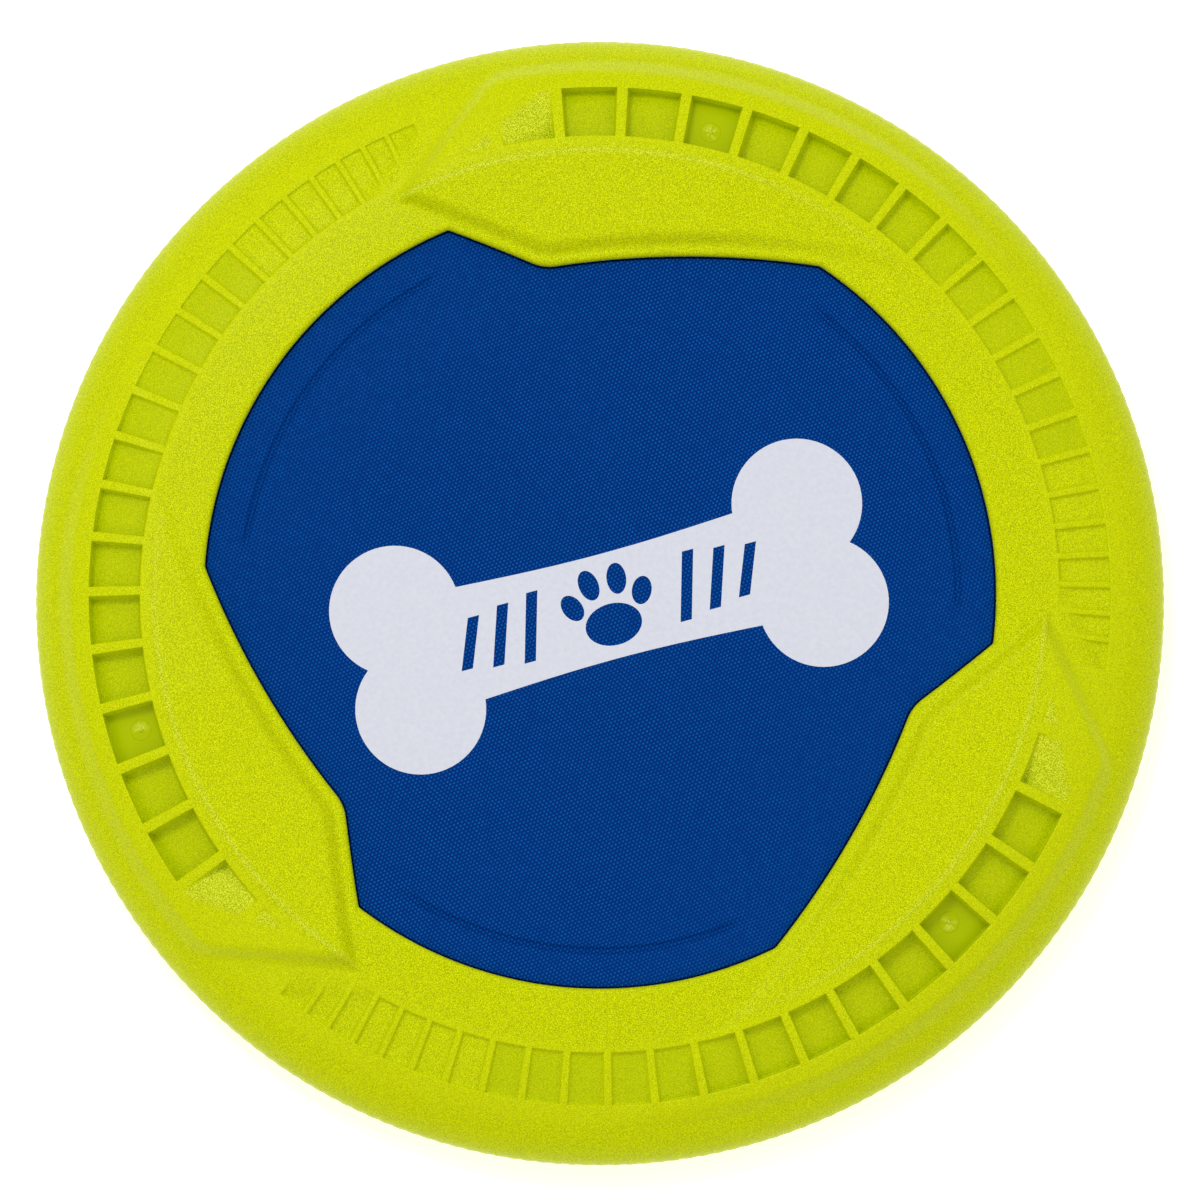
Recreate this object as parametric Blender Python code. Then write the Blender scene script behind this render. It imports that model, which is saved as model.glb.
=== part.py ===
"""A soft flying disc for dogs: a rubber ring moulded over the edge of a padded nylon centre.

Run with: blender --background --python part.py

Metres, +Z up. The origin is the centre of the plane that the disc rests on. Places on the ring are
given as a bearing, in degrees clockwise from +Y as seen from above, and a radius. The ring repeats
every 120 degrees, so everything on it is described once and turned into place.
"""

import math

import bmesh
import bpy
from mathutils import Vector

# Driving dimensions
MM = 0.001
OUTER_RADIUS = 127.0 * MM
SECTORS = 3
TURN_STEPS = 96
SHARP_ANGLE = 35.0
GAP = 0.3 * MM

# Section of the ring: a quarter ellipse outside, another inside, and a rounded lip at the foot
DOME_TOP_Z = 30.0 * MM
DOME_START = 84.0 * MM
DOME_DROP = 20.0 * MM
DOME_POINTS = 9
SKIRT_IN = 0.8 * MM
LIP_OUTER_RADIUS = 124.5 * MM
LIP_INNER_RADIUS = 121.5 * MM
LIP_OUTSIDE_Z = 2.4 * MM
LIP_INSIDE_Z = 1.5 * MM
HOLLOW_RADIUS = 120.5 * MM
HOLLOW_TOP_Z = DOME_TOP_Z - 4.6 * MM
HOLLOW_DROP = 18.0 * MM
HOLLOW_POINTS = 6
BLANK_INNER_RADIUS = 60.0 * MM

# Window that the fabric shows through: round, with a lobe of rubber under each blade
WINDOW_RADIUS = 88.4 * MM
LOBE_START = (-22.6, WINDOW_RADIUS)
LOBE_CORNER = (-9.8, 74.1 * MM)
LOBE_END = (33.8, WINDOW_RADIUS)
LOBE_BOW = 2.45 * MM

# Blades: level from the window side to a crease, then falling with the dome to an outer ridge
LEDGE = 2.4 * MM
SLOPE = 2.7 * MM
BLADE_RISE = 2.2 * MM
RIDGE_RISE = 2.6 * MM
CREASE_RADIUS = 99.3 * MM
RIDGE_RADIUS = 117.8 * MM
BLADE_FOOT_RADIUS = 121.8 * MM
BLADE_ROOT = 1.3 * MM
FOOT_SUNK = 0.2 * MM
TOP_SUNK = 0.02 * MM
BLADE_STEP = 3.5
BLADE_RUNS = 4
NOSE_BEARING = -27.0
NOSE_SPACING = 0.1 * MM
NOSE_TOP_BEARING = -24.0
NOSE_EDGE = ((-24.3, 99.7 * MM), (-10.0, RIDGE_RADIUS))
NOSE_FOOT = ((-27.5, 99.7 * MM), (-13.5, RIDGE_RADIUS))
INNER_FALL = (16.0, 50.0)
OUTER_FALL = (34.0, 62.0)
BLADE_END = OUTER_FALL[1]

# Pockets, and the ribs between them, whose spacing closes up towards the trailing end
POCKET_SINK = 1.1 * MM
POCKET_INNER_RADIUS = 102.6 * MM
POCKET_OUTER_RADIUS = 114.2 * MM
POCKET_DIAGONAL = ((-18.5, POCKET_INNER_RADIUS), (-7.0, POCKET_OUTER_RADIUS))
POCKETS_END = 98.5
RIB_COUNT = 21
FIRST_RIB = -12.8
FIRST_PITCH = 7.8
PITCH_LOSS = 0.253
FIRST_RIB_WIDTH = 1.3
RIB_WIDTH_LOSS = 0.035

# Padded centre, held in a slot in the ring and pegged by it
SLOT_RADIUS = 96.0 * MM
SLOT_TOP_Z = DOME_TOP_Z - 1.9 * MM
SLOT_FLOOR = 1.1 * MM
FLANGE_RADIUS = 97.4 * MM
FLANGE_CHAMFER = 1.2 * MM
FACE_THICKNESS = 0.6 * MM
FOAM_THICKNESS = 1.8 * MM
CENTRE_RADIUS = SLOT_RADIUS - GAP
SLOT_Z = SLOT_TOP_Z - 4 * GAP - 2 * FACE_THICKNESS - FOAM_THICKNESS
PEG_COUNT = 18
PEG_CIRCLE_RADIUS = 92.6 * MM
PEG_RADIUS = 1.5 * MM
PEG_SIDES = 8

# Graphic: a bone with a paw and six slots cut out of it
FILM_THICKNESS = 0.3 * MM
GRAPHIC_TURN = 15.0
GRAPHIC_CENTRE = (2.0 * MM, -3.0 * MM)
BONE_HALF_LENGTH = 46.5 * MM
BONE_KNOB_RADIUS = 14.6 * MM
BONE_KNOB_OFFSET = 11.4 * MM
BONE_SHAFT_HALF = 13.0 * MM
BONE_WAIST = 1.2 * MM

RUBBER_LIME = (0.600, 0.690, 0.005)
NYLON_BLUE = (0.003, 0.045, 0.235)
FOAM_GREY = (0.150, 0.160, 0.170)
FILM_WHITE = (0.720, 0.740, 0.820)


def at(bearing, radius):
    """The point in plan at a bearing in degrees and a radius."""
    turn = math.radians(bearing)
    return Vector((radius * math.sin(turn), radius * math.cos(turn)))


def away(first, last):
    """The unit normal, away from the centre, of the line through two places on the ring."""
    along = at(*last) - at(*first)
    normal = Vector((-along.y, along.x)).normalized()
    return normal if normal.dot(at(*first)) > 0 else -normal


def line_radius(bearing, edge, outward=0.0):
    """The radius at which a bearing crosses the line through two places, moved outward."""
    first, last = edge
    normal = away(first, last)
    return (normal.dot(at(*first)) + outward) / normal.dot(at(bearing, 1.0))


def bow_radius(bearing, edge, bow, outward=0.0):
    """The radius at which a bearing crosses an arc bowed away from the centre, moved outward."""
    first, last = edge
    half = (at(*last) - at(*first)).length / 2
    arc_radius = (half * half + bow * bow) / (2 * bow)
    middle = (at(*first) + at(*last)) / 2
    centre = middle - away(first, last) * (arc_radius - bow)
    along = centre.dot(at(bearing, 1.0))
    return along + math.sqrt(along**2 - centre.length_squared + (arc_radius + outward) ** 2)


def lobe_radius(bearing, outward=0.0):
    """The edge of a lobe: a straight leading side and a bowed trailing side that meet at a corner."""
    leading = line_radius(bearing, (LOBE_START, LOBE_CORNER), outward)
    trailing = bow_radius(bearing, (LOBE_CORNER, LOBE_END), LOBE_BOW, outward)
    return max(leading, trailing)


def dome_z(radius):
    """The height of the ring's outer surface without its blades."""
    share = max(radius - DOME_START, 0.0) / (OUTER_RADIUS - DOME_START)
    return DOME_TOP_Z - DOME_DROP * (1 - math.sqrt(1 - share * share))


def hollow_z(radius):
    """The height of the ring's underside, outside the flange that holds the fabric."""
    share = (radius - DOME_START) / (HOLLOW_RADIUS - DOME_START)
    return HOLLOW_TOP_Z - HOLLOW_DROP * (1 - math.sqrt(1 - share * share))


def fall(bearing, limits):
    """1 up to the first bearing, 0 past the second, and evenly less between them."""
    return min(max((limits[1] - bearing) / (limits[1] - limits[0]), 0.0), 1.0)


def blade_share(bearing, along):
    """How much of its full rise a blade has, part of the way along from its crease to its ridge."""
    inner = fall(bearing, INNER_FALL)
    return inner + (fall(bearing, OUTER_FALL) - inner) * along


def blade_z(bearing, radius):
    """The height of a blade's top."""
    level = DOME_TOP_Z + BLADE_RISE
    along = min(max((radius - CREASE_RADIUS) / (RIDGE_RADIUS - CREASE_RADIUS), 0.0), 1.0)
    if along == 0.0:
        rise = level - dome_z(radius)
    else:
        rise = (level - dome_z(CREASE_RADIUS)) * (1 - along) + RIDGE_RISE * along
    return dome_z(radius) + rise * blade_share(bearing, along)


def steps(start, end, longest):
    """Evenly spaced values from start to end, no further apart than the longest step."""
    count = math.ceil(abs(end - start) / longest)
    return [start + (end - start) * i / count for i in range(count + 1)]


def clear_scene():
    for obj in list(bpy.data.objects):
        bpy.data.objects.remove(obj, do_unlink=True)


def material(name, colour, roughness):
    made = bpy.data.materials.new(name)
    made.use_nodes = True
    shader = made.node_tree.nodes["Principled BSDF"]
    shader.inputs["Base Color"].default_value = (*colour, 1.0)
    shader.inputs["Roughness"].default_value = roughness
    shader.inputs["Metallic"].default_value = 0.0
    return made


def add_object(name, mesh):
    obj = bpy.data.objects.new(name, mesh)
    bpy.context.scene.collection.objects.link(obj)
    return obj


def add_mesh(name, points, faces):
    """An object from points and faces, with its faces turned to point outwards."""
    mesh = bpy.data.meshes.new(name)
    mesh.from_pydata([tuple(point) for point in points], [], faces)
    shape = bmesh.new()
    shape.from_mesh(mesh)
    bmesh.ops.recalc_face_normals(shape, faces=shape.faces)
    shape.to_mesh(mesh)
    shape.free()
    return add_object(name, mesh)


def helper(obj):
    """Marks a shape that only cuts or joins another."""
    obj.hide_render = True
    obj.display_type = "WIRE"
    return obj


def combine(obj, other, operation):
    modifier = obj.modifiers.new(other.name, "BOOLEAN")
    modifier.object = other
    modifier.operation = operation
    modifier.solver = "EXACT"


def prism(outline, low, high, points, faces):
    """Adds a closed upright prism over an outline in plan to lists of points and faces."""
    start = len(points)
    count = len(outline)
    points += [(x, y, z) for z in (low, high) for x, y in outline]
    faces.append([start + i for i in range(count)])
    faces.append([start + count + i for i in range(count)])
    for i in range(count):
        after = (i + 1) % count
        faces.append([start + i, start + after, start + count + after, start + count + i])


def disc(name, radius, low, high):
    """An upright cylinder about the disc's axis."""
    mesh = bpy.data.meshes.new(name)
    shape = bmesh.new()
    bmesh.ops.create_cone(
        shape,
        cap_ends=True,
        segments=TURN_STEPS,
        radius1=radius,
        radius2=radius,
        depth=high - low,
    )
    bmesh.ops.translate(shape, verts=shape.verts, vec=(0, 0, (low + high) / 2))
    shape.to_mesh(mesh)
    shape.free()
    mesh.shade_smooth()
    mesh.set_sharp_from_angle(angle=math.radians(SHARP_ANGLE))
    return add_object(name, mesh)


def pegs(name, radius, low, high):
    """One object that holds a ring of upright pegs."""
    points, faces = [], []
    for peg in range(PEG_COUNT):
        centre = at((peg + 0.5) * 360 / PEG_COUNT, PEG_CIRCLE_RADIUS)
        outline = [centre + at(side * 360 / PEG_SIDES, radius) for side in range(PEG_SIDES)]
        prism(outline, low, high, points, faces)
    return helper(add_mesh(name, points, faces))


def ring_profile():
    """The ring's section as (radius, height), from the middle down the outer side and back inside."""
    section = [(BLANK_INNER_RADIUS, DOME_TOP_Z)]
    for i in range(DOME_POINTS + 1):
        turn = math.pi / 2 * i / DOME_POINTS
        radius = DOME_START + (OUTER_RADIUS - DOME_START) * math.sin(turn)
        section.append((radius, DOME_TOP_Z - DOME_DROP * (1 - math.cos(turn))))
    section.append((OUTER_RADIUS - SKIRT_IN, LIP_OUTSIDE_Z))
    section.append((LIP_OUTER_RADIUS, 0.0))
    section.append((LIP_INNER_RADIUS, 0.0))
    section.append((HOLLOW_RADIUS, LIP_INSIDE_Z))
    rim_turn = math.asin((FLANGE_RADIUS + FLANGE_CHAMFER - DOME_START) / (HOLLOW_RADIUS - DOME_START))
    for i in range(HOLLOW_POINTS + 1):
        turn = math.pi / 2 + (rim_turn - math.pi / 2) * i / HOLLOW_POINTS
        radius = DOME_START + (HOLLOW_RADIUS - DOME_START) * math.sin(turn)
        section.append((radius, hollow_z(radius)))
    section.append((FLANGE_RADIUS, SLOT_Z - SLOT_FLOOR))
    section.append((BLANK_INNER_RADIUS, SLOT_Z - SLOT_FLOOR))
    return section


def ring_blank():
    """The turned body of the ring, before its blades, window, pockets and slot."""
    section = ring_profile()
    count = len(section)
    mesh = bpy.data.meshes.new("rim_ring")
    points = [(radius, 0.0, z) for radius, z in section]
    mesh.from_pydata(points, [(i, (i + 1) % count) for i in range(count)], [])
    ring = add_object("rim_ring", mesh)
    turned = ring.modifiers.new("turned", "SCREW")
    turned.axis = "Z"
    turned.angle = math.tau
    turned.steps = TURN_STEPS
    turned.render_steps = TURN_STEPS
    turned.use_merge_vertices = True
    turned.merge_threshold = 0.00001
    turned.use_smooth_shade = True
    return ring


def nose_section():
    """The point in which a blade starts, as a short section sunk just below the ring's surface."""
    middle = (lobe_radius(NOSE_BEARING, LEDGE) + line_radius(NOSE_BEARING, NOSE_FOOT)) / 2
    count = BLADE_RUNS + 4
    radii = [middle + (i - (count - 1) / 2) * NOSE_SPACING for i in range(count)]
    top = [(radius, dome_z(radius) - FOOT_SUNK) for radius in radii]
    return top + [(radius, dome_z(radius) - BLADE_ROOT) for radius in reversed(radii)]


def blade_section(bearing):
    """A blade's section at a bearing, as (radius, height) over its top and back through the ring."""
    foot_in = min(lobe_radius(bearing, LEDGE), POCKET_INNER_RADIUS - 1.6 * MM)
    edge_in = min(lobe_radius(bearing, LEDGE + SLOPE), POCKET_INNER_RADIUS - 0.6 * MM)
    edge_out, foot_out = RIDGE_RADIUS, BLADE_FOOT_RADIUS
    if bearing < NOSE_EDGE[1][0]:
        edge_out = line_radius(bearing, NOSE_EDGE)
        foot_out = min(line_radius(bearing, NOSE_FOOT), BLADE_FOOT_RADIUS)
    crease = max(CREASE_RADIUS, edge_in + 0.2 * MM)
    edge_out = max(edge_out, crease + 0.4 * MM)
    foot_out = max(foot_out, edge_out + 0.4 * MM)
    falling = [crease + (edge_out - crease) * i / BLADE_RUNS for i in range(1, BLADE_RUNS + 1)]
    radii = [foot_in, edge_in, crease, *falling, foot_out]
    top = [(radius, blade_z(bearing, radius) - TOP_SUNK) for radius in radii]
    top[0] = (foot_in, dome_z(foot_in) - FOOT_SUNK)
    top[-1] = (foot_out, dome_z(foot_out) - FOOT_SUNK)
    return top + [(radius, dome_z(radius) - BLADE_ROOT) for radius in reversed(radii)]


def blades():
    """The three raised, swept blades as one helper that is joined to the ring."""
    bearings = steps(NOSE_TOP_BEARING, NOSE_EDGE[1][0], BLADE_STEP)
    bearings += steps(NOSE_EDGE[1][0], BLADE_END, BLADE_STEP)[1:]
    sections = [(NOSE_BEARING, nose_section())]
    sections += [(bearing, blade_section(bearing)) for bearing in bearings]
    width = len(sections[0][1])
    points, faces = [], []
    for sector in range(SECTORS):
        start = len(points)
        for bearing, section in sections:
            for radius, z in section:
                points.append((*at(bearing + sector * 360 / SECTORS, radius), z))
        for i in range(len(sections) - 1):
            for j in range(width):
                after = (j + 1) % width
                near = start + i * width
                far = near + width
                faces.append([near + j, near + after, far + after, far + j])
        last = start + (len(sections) - 1) * width
        faces.append([start + j for j in range(width)])
        faces.append([last + j for j in range(width)])
    return helper(add_mesh("blades", points, faces))


def window_cutter():
    """The opening through the ring, with its three lobes left standing."""
    outline = []
    for sector in range(SECTORS):
        turn = sector * 360 / SECTORS
        for bearing in steps(LOBE_CORNER[0], LOBE_END[0], 5.5)[:-1]:
            outline.append(at(bearing + turn, lobe_radius(bearing)))
        for bearing in steps(LOBE_END[0], LOBE_START[0] + 360 / SECTORS, 5.5):
            outline.append(at(bearing + turn, WINDOW_RADIUS))
    points, faces = [], []
    prism(outline, HOLLOW_TOP_Z - 8 * MM, DOME_TOP_Z + 5 * MM, points, faces)
    return helper(add_mesh("window", points, faces))


def rib_bearings():
    """The centre and the half width of each rib in one sector, in degrees."""
    ribs = []
    centre = FIRST_RIB
    for rib in range(RIB_COUNT):
        ribs.append((centre, (FIRST_RIB_WIDTH - RIB_WIDTH_LOSS * rib) / 2))
        centre += FIRST_PITCH - PITCH_LOSS * rib
    return ribs


def pocket_outlines():
    """The outline of each pocket in one sector, as places on the ring."""
    ribs = rib_bearings()
    inner, outer = POCKET_INNER_RADIUS, POCKET_OUTER_RADIUS
    leading = ribs[0][0] - ribs[0][1]
    outlines = [
        [POCKET_DIAGONAL[0], (leading, line_radius(leading, POCKET_DIAGONAL)), (leading, inner)]
    ]
    for (before, before_half), (after, after_half) in zip(ribs, ribs[1:]):
        start, end = before + before_half, after - after_half
        if start < POCKET_DIAGONAL[1][0]:
            corner = (start, line_radius(start, POCKET_DIAGONAL))
            outlines.append([(start, inner), corner, POCKET_DIAGONAL[1], (end, outer), (end, inner)])
        else:
            outlines.append([(start, inner), (start, outer), (end, outer), (end, inner)])
    start = ribs[-1][0] + ribs[-1][1]
    next_foot = [
        line_radius(bearing - 360 / SECTORS, NOSE_FOOT, 1.2 * MM) for bearing in (start, POCKETS_END)
    ]
    outlines.append(
        [
            (start, max(inner, next_foot[0])),
            (start, outer),
            (POCKETS_END, outer),
            (POCKETS_END, max(inner, next_foot[1])),
        ]
    )
    return outlines


def pocket_cutters():
    """One upright cutter for each pocket, with a floor that falls with the dome."""
    points, faces = [], []
    for sector in range(SECTORS):
        turn = sector * 360 / SECTORS
        for outline in pocket_outlines():
            start = len(points)
            corners = [at(bearing + turn, radius) for bearing, radius in outline]
            prism(corners, 0.0, DOME_TOP_Z + 5 * MM, points, faces)
            for i, (_, radius) in enumerate(outline):
                points[start + i] = (*corners[i], dome_z(radius) - POCKET_SINK)
    return helper(add_mesh("pockets", points, faces))


def slot_cutter():
    """The slot that the padded centre sits in, less the pegs that run through it."""
    slot = disc("slot", SLOT_RADIUS, SLOT_Z, SLOT_TOP_Z)
    cut = pegs("slot_pegs", PEG_RADIUS, SLOT_Z - 1 * MM, SLOT_TOP_Z + 1 * MM)
    combine(slot, cut, "DIFFERENCE")
    return helper(slot)


def add_ring(rubber):
    ring = ring_blank()
    combine(ring, blades(), "UNION")
    combine(ring, window_cutter(), "DIFFERENCE")
    combine(ring, pocket_cutters(), "DIFFERENCE")
    combine(ring, slot_cutter(), "DIFFERENCE")
    ring.data.materials.append(rubber)


def add_layer(name, low, thickness, finish):
    """One layer of the padded centre, punched for the ring's pegs."""
    layer = disc(name, CENTRE_RADIUS, low, low + thickness)
    holes = pegs(name + "_holes", PEG_RADIUS + GAP, low - 1 * MM, low + thickness + 1 * MM)
    combine(layer, holes, "DIFFERENCE")
    layer.data.materials.append(finish)


def arc(centre, radius, start, end, points):
    """Points along an arc, with angles in degrees counter-clockwise from +X."""
    turns = [math.radians(start + (end - start) * i / (points - 1)) for i in range(points)]
    return [(centre[0] + radius * math.cos(t), centre[1] + radius * math.sin(t)) for t in turns]


def bone_outline():
    """The outline of a bone along X: two knobs at each end, joined by a slightly waisted shaft."""
    notch = math.degrees(math.asin(BONE_KNOB_OFFSET / BONE_KNOB_RADIUS))
    neck = math.degrees(math.asin((BONE_SHAFT_HALF - BONE_KNOB_OFFSET) / BONE_KNOB_RADIUS))
    quarter = arc(
        (BONE_HALF_LENGTH, BONE_KNOB_OFFSET), BONE_KNOB_RADIUS, -notch, 180 - neck, 14
    )
    shaft_end = quarter[-1][0]
    shaft = []
    for i in range(1, 6):
        x = shaft_end * (1 - i / 3)
        shaft.append((x, BONE_SHAFT_HALF - BONE_WAIST * math.cos(x / shaft_end * math.pi / 2)))
    top = quarter + shaft + [(-x, y) for x, y in reversed(quarter)]
    return top + [(-x, -y) for x, y in top[1:-1]]


def oval(centre, half_width, half_height, turn, points=12):
    """An ellipse whose long way is turned from upright by an angle in degrees."""
    lean = math.radians(turn)
    outline = []
    for i in range(points):
        t = math.tau * i / points
        x, y = half_width * math.cos(t), half_height * math.sin(t)
        outline.append(
            (
                centre[0] + x * math.cos(lean) - y * math.sin(lean),
                centre[1] + x * math.sin(lean) + y * math.cos(lean),
            )
        )
    return outline


def paw_and_slots():
    """The shapes cut out of the bone: a paw in the middle and three slots on each side of it."""
    shapes = [oval((0.0, -4.2 * MM), 6.4 * MM, 4.7 * MM, 0.0, 16)]
    for side in (-1, 1):
        shapes.append(oval((side * 8.0 * MM, 1.6 * MM), 2.2 * MM, 3.2 * MM, -side * 24))
        shapes.append(oval((side * 3.2 * MM, 5.6 * MM), 2.2 * MM, 3.5 * MM, -side * 8))
        for slot in range(3):
            x = side * (18.0 + 7.0 * slot) * MM
            half = (7.6 - 1.0 * slot) * MM
            lean, width = 2.2 * MM, 1.3 * MM
            shapes.append(
                [
                    (x - width - lean, -half),
                    (x + width - lean, -half),
                    (x + width + lean, half),
                    (x - width + lean, half),
                ]
            )
    return shapes


def placed(outline):
    """A graphic outline turned and moved to its place on the disc."""
    turn = math.radians(GRAPHIC_TURN)
    return [
        (
            GRAPHIC_CENTRE[0] + x * math.cos(turn) - y * math.sin(turn),
            GRAPHIC_CENTRE[1] + x * math.sin(turn) + y * math.cos(turn),
        )
        for x, y in outline
    ]


def add_graphic(low, finish):
    points, faces = [], []
    prism(placed(bone_outline()), low, low + FILM_THICKNESS, points, faces)
    film = add_mesh("graphic_transfer", points, faces)
    points, faces = [], []
    for shape in paw_and_slots():
        prism(placed(shape), low - 1 * MM, low + FILM_THICKNESS + 1 * MM, points, faces)
    combine(film, helper(add_mesh("graphic_cut_outs", points, faces)), "DIFFERENCE")
    film.data.materials.append(finish)


def main():
    clear_scene()
    rubber = material("lime_rubber", RUBBER_LIME, 0.45)
    nylon = material("blue_nylon", NYLON_BLUE, 0.75)
    foam = material("grey_foam", FOAM_GREY, 0.9)
    white = material("white_film", FILM_WHITE, 0.5)

    bottom_low = SLOT_Z + GAP
    foam_low = bottom_low + FACE_THICKNESS + GAP
    top_low = foam_low + FOAM_THICKNESS + GAP

    add_ring(rubber)
    add_layer("nylon_face_top", top_low, FACE_THICKNESS, nylon)
    add_layer("foam_core", foam_low, FOAM_THICKNESS, foam)
    add_layer("nylon_face_bottom", bottom_low, FACE_THICKNESS, nylon)
    add_graphic(top_low + FACE_THICKNESS + GAP, white)


main()
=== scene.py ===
"""Looks for the soft flying disc: moulded rubber ring, padded nylon centre and printed film.

Shapes are worked out in millimetres and scaled to metres when a mesh is made. Places on the disc are
a bearing, in degrees clockwise from +Y as seen from above, and a radius. The ring repeats every 120
degrees, so one sector is meshed and turned into place three times.
"""

import math

import bpy
import numpy as np
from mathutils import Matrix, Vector
from mathutils.geometry import delaunay_2d_cdt
from mathutils.kdtree import KDTree


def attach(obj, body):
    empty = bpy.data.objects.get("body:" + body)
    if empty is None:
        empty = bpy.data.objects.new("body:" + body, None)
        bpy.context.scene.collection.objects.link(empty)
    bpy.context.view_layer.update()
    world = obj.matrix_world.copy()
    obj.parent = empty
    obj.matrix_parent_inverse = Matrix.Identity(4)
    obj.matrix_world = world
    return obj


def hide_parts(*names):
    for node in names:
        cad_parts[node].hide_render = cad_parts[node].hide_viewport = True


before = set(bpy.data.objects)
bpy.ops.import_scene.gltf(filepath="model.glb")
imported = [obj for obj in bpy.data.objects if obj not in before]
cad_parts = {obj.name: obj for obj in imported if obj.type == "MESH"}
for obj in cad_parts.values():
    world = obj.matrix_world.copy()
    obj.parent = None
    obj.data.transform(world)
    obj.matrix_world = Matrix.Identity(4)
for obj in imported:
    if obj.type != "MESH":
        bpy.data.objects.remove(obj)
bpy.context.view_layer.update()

MM = 0.001
SECTORS = 3
SECTOR_TURN = 360 / SECTORS
HALF_SECTOR = SECTOR_TURN / 2
FAR = 1e3

# Section of the ring
DOME_TOP = 30.0
DOME_START = 84.0
DOME_REACH = 43.0
DOME_DROP = 20.0
TOP_LIMIT = 123.4
HOLLOW_TOP = 25.4
HOLLOW_REACH = 36.5
HOLLOW_DROP = 18.0
SKIRT_ROWS = ((126.95, 8.0), (126.78, 5.8), (126.4, 3.6), (126.0, 2.0), (125.5, 0.8))
LIP_ROWS = ((124.6, 0.12), (123.9, 0.0), (122.1, 0.0), (121.3, 0.25), (120.8, 0.9), (120.5, 1.9))
SHOULDER_STEPS = 6
HOLLOW_STEPS = 9
RIPPLE_DEPTH = 0.13
RIPPLE_FOOT = 1.0
RIPPLE_TOP = 16.5
RIPPLES = 80
RIPPLE_STEPS = 6

# Window, with a lobe of rubber under each blade
WINDOW = 88.4
LOBE_START = (-22.6, WINDOW)
LOBE_CORNER = (-9.8, 74.1)
LOBE_END = (33.8, WINDOW)
LOBE_BOW = 2.45
LEADING_BOW = 0.15
CORNER_BLEND = 1.6
NOTCH_BLEND = 0.25
EDGE_ROUND = 1.25

# Blades
LEDGE = 2.4
LEDGE_DIP = 0.18
SLOPE = 2.7
EASE = 0.32
RIDGE_EASE = 0.2
MITRE = 0.6
BLADE_LEVEL = DOME_TOP + 2.17
RIDGE_RISE = 2.6
CREASE = 99.3
CREASE_BLEND = 0.12
RIDGE = 118.0
RIDGE_FOOT = 121.2
NOSE_EDGE = ((-24.3, 99.7), (-10.0, RIDGE))
NOSE_FOOT = ((-27.5, 99.7), (-13.5, RIDGE))
RIDGE_PULL = 2.6
RIDGE_PULL_FALL = (36.0, 60.0)
INNER_FALL = (16.0, 50.0)
OUTER_FALL = (34.0, 62.0)
ON_BLADE = (20.0, 105.0)

# Pockets and ribs
POCKET_SINK = 1.1
POCKET_IN = 102.6
POCKET_OUT = 114.2
POCKET_WALL = 0.75
LIP_ROUND = 0.35
LIP_DROP = 0.15
WALL_ROWS = (0.0, -LIP_ROUND, 0.1, 0.25, 0.5, POCKET_WALL)
POCKET_RAMP = 0.035
POCKET_DIAGONAL = ((-18.5, POCKET_IN), (-7.0, POCKET_OUT))
POCKETS_START = -19.0
POCKETS_END = 98.5
ON_LAST_POCKETS = (80.0, 105.0)
FOOT_MARGIN = 1.2
RIBS = [
    (-12.8 + 7.8 * i - 0.253 * i * (i - 1) / 2, (1.3 - 0.035 * i) / 2) for i in range(21)
]
SECTOR_EDGE = RIBS[14][0] - SECTOR_TURN
GATE = (13.4, 106.9)
GATE_RADIUS = 2.4
GATE_RISE = 0.12
GATE_EDGE = 0.2
NIB_RADIUS = 0.6
NIB_RISE = 0.45
NIB_EDGE = 0.3

# Slot, centre and print
SLOT_RADIUS = 96.0
SLOT_CEILING = 28.1
SLOT_FLOOR = 23.9
FLANGE_UNDER = 22.8
FLANGE_RADIUS = 97.4
PEG_RING = 92.6
PEG_RADIUS = 1.5
PEG_COUNT = 18
HOLE_RADIUS = 1.8
CENTRE_RADIUS = 95.7
GROOVE_RADIUS = 79.9
GROOVE_BEARINGS = (35.0, 95.0)
GROOVE_WIDTH = 0.6
GROOVE_DEPTH = 0.9
TUCK_WIDTH = 0.5
TUCK_DEPTH = 0.9
PAD_RISE = 0.7
CLOTH_STEPS = 15
TOP_SHEET = (27.2, 27.8)
BOTTOM_SHEET = (24.2, 24.8)
PAD = (24.9, 27.1)
FILM = (0.02, 0.12)


# Plane geometry ------------------------------------------------------------------------------


def place(bearing, radius):
    """The point in plan at a bearing and a radius."""
    turn = np.radians(bearing)
    return np.stack([radius * np.sin(turn), radius * np.cos(turn)], axis=-1)


def polar(points):
    """(bearings, radii) of points in plan."""
    radius = np.hypot(points[..., 0], points[..., 1])
    return np.degrees(np.arctan2(points[..., 0], points[..., 1])), radius


def home_turn(bearing):
    """The degrees, in whole sectors, from the meshed sector to the one at a bearing."""
    return np.round((bearing - SECTOR_EDGE - SECTOR_TURN / 2) / SECTOR_TURN) * SECTOR_TURN


def past_line(points, line, inside):
    """Signed distance past the line through two places, positive on the side of a third."""
    first, last = place(*line[0]), place(*line[1])
    along = last - first
    normal = np.array([-along[1], along[0]]) / np.hypot(*along)
    if normal @ (place(*inside) - first) < 0:
        normal = -normal
    return (points - first) @ normal


def past_bow(points, line, bow):
    """Signed distance outside the arc through two places that bows away from the centre."""
    first, last = place(*line[0]), place(*line[1])
    half = np.hypot(*(last - first)) / 2
    radius = (half * half + bow * bow) / (2 * bow)
    along = (last - first) / (2 * half)
    normal = np.array([-along[1], along[0]])
    if normal @ first < 0:
        normal = -normal
    centre = (first + last) / 2 - normal * (radius - bow)
    return np.hypot(points[..., 0] - centre[0], points[..., 1] - centre[1]) - radius


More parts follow.
